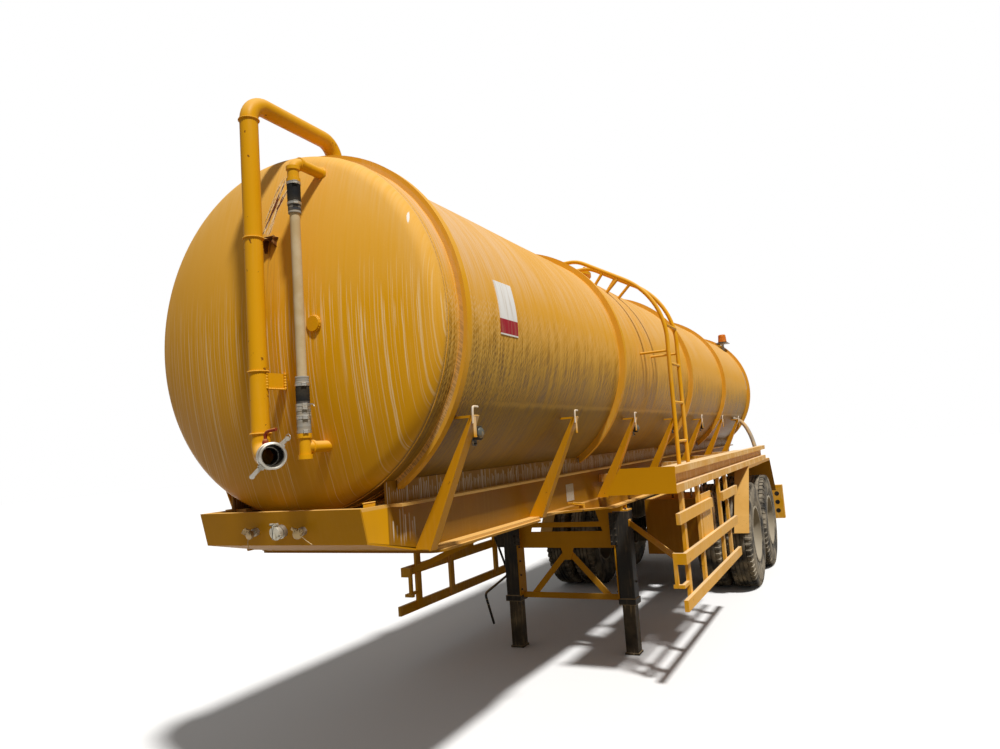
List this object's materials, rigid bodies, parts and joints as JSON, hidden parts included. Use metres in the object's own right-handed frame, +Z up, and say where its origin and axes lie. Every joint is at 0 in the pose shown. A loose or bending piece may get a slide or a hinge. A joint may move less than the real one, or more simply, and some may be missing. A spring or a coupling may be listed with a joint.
{
  "type": "tandem-axle waste water tank semi-trailer",
  "caption": "Tank semi-trailer for waste water with a ribbed round tank on a two-beam frame, twin wheels on a tandem, landing legs, side guards and a top manhole.",
  "frame": {"origin": "on the ground under the middle of the overall length, on the trailer's centre line", "axes": "+X forward towards the coupling, +Y to the trailer's left, +Z up"},
  "size_m": [10.387, 2.5, 3.556],
  "materials": {
    "tank_paint": "satin yellow paint, dusty",
    "frame_paint": "satin orange-yellow paint, dusty",
    "leg_paint": "black paint, dusty",
    "rim_paint": "pale grey paint, dusty",
    "undercarriage": "dark grey paint, dusty",
    "tyre_rubber": "worn and dusty",
    "hose_rubber": "grey ribbed hose",
    "gauge_tube": "clouded hose",
    "sleeve": "dull",
    "coupling_metal": "cast, dull",
    "lamp_lens": "amber lens on a dark base",
    "beacon_lens": "orange dome",
    "rear_lamp": "red lenses in a yellow box",
    "bare_steel": "greased steel"
  },
  "bodies": {
    "frame": {"air_tanks": "undercarriage", "axles": "undercarriage", "beacon": "beacon_lens", "beacon_bracket": "leg_paint", "brake_chambers": "undercarriage", "chassis_beams": "frame_paint", "coupler_box": "frame_paint", "coupler_plate": "bare_steel", "cross_members": "frame_paint", "gauge_hose": "gauge_tube", "gauge_pipes": "tank_paint", "gussets": "frame_paint", "hose_sleeves": "sleeve", "kingpin": "bare_steel", "ladder": "tank_paint", "leaf_springs": "undercarriage", "leg_bracing": "frame_paint", "leg_feet": "leg_paint", "leg_gearbox": "leg_paint", "leg_tubes": "leg_paint", "manhole_collar": "tank_paint", "marker_lamps": "lamp_lens", "mudguards": "frame_paint", "overflow_hose": "hose_rubber", "rear_bumper": "frame_paint", "rear_lamps": "rear_lamp", "rear_outlet": "tank_paint", "saddle_plates": "frame_paint", "service_couplings": "coupling_metal", "side_guards": "frame_paint", "spring_hangers": "undercarriage", "stiffener_rings": "tank_paint", "suction_coupling": "coupling_metal", "suction_pipe": "tank_paint", "tank_shell": "tank_paint", "tool_box": "frame_paint", "walkways": "frame_paint"},
    "manhole_lid": {"manhole_lid": "tank_paint"},
    "wheel_front_left": {"tyres_front_left": "tyre_rubber", "rims_front_left": "rim_paint"},
    "wheel_front_right": {"tyres_front_right": "tyre_rubber", "rims_front_right": "rim_paint"},
    "wheel_rear_left": {"tyres_rear_left": "tyre_rubber", "rims_rear_left": "rim_paint"},
    "wheel_rear_right": {"tyres_rear_right": "tyre_rubber", "rims_rear_right": "rim_paint"}
  },
  "joints": [
    {"name": "wheel_front_left_spin", "type": "hinge", "parent": "frame", "child": "wheel_front_left", "pos_m": [-1.5956, 0, 0.6], "axis": [0, 1, 0], "continuous": true},
    {"name": "wheel_front_right_spin", "type": "hinge", "parent": "frame", "child": "wheel_front_right", "pos_m": [-1.5956, 0, 0.6], "axis": [0, 1, 0], "continuous": true},
    {"name": "wheel_rear_left_spin", "type": "hinge", "parent": "frame", "child": "wheel_rear_left", "pos_m": [-2.9456, 0, 0.6], "axis": [0, 1, 0], "continuous": true},
    {"name": "wheel_rear_right_spin", "type": "hinge", "parent": "frame", "child": "wheel_rear_right", "pos_m": [-2.9456, 0, 0.6], "axis": [0, 1, 0], "continuous": true},
    {"name": "manhole_lid_hinge", "type": "hinge", "parent": "frame", "child": "manhole_lid", "pos_m": [0.9044, -0.326, 3.44], "axis": [1, 0, 0], "range_deg": [0, 105]}
  ]
}
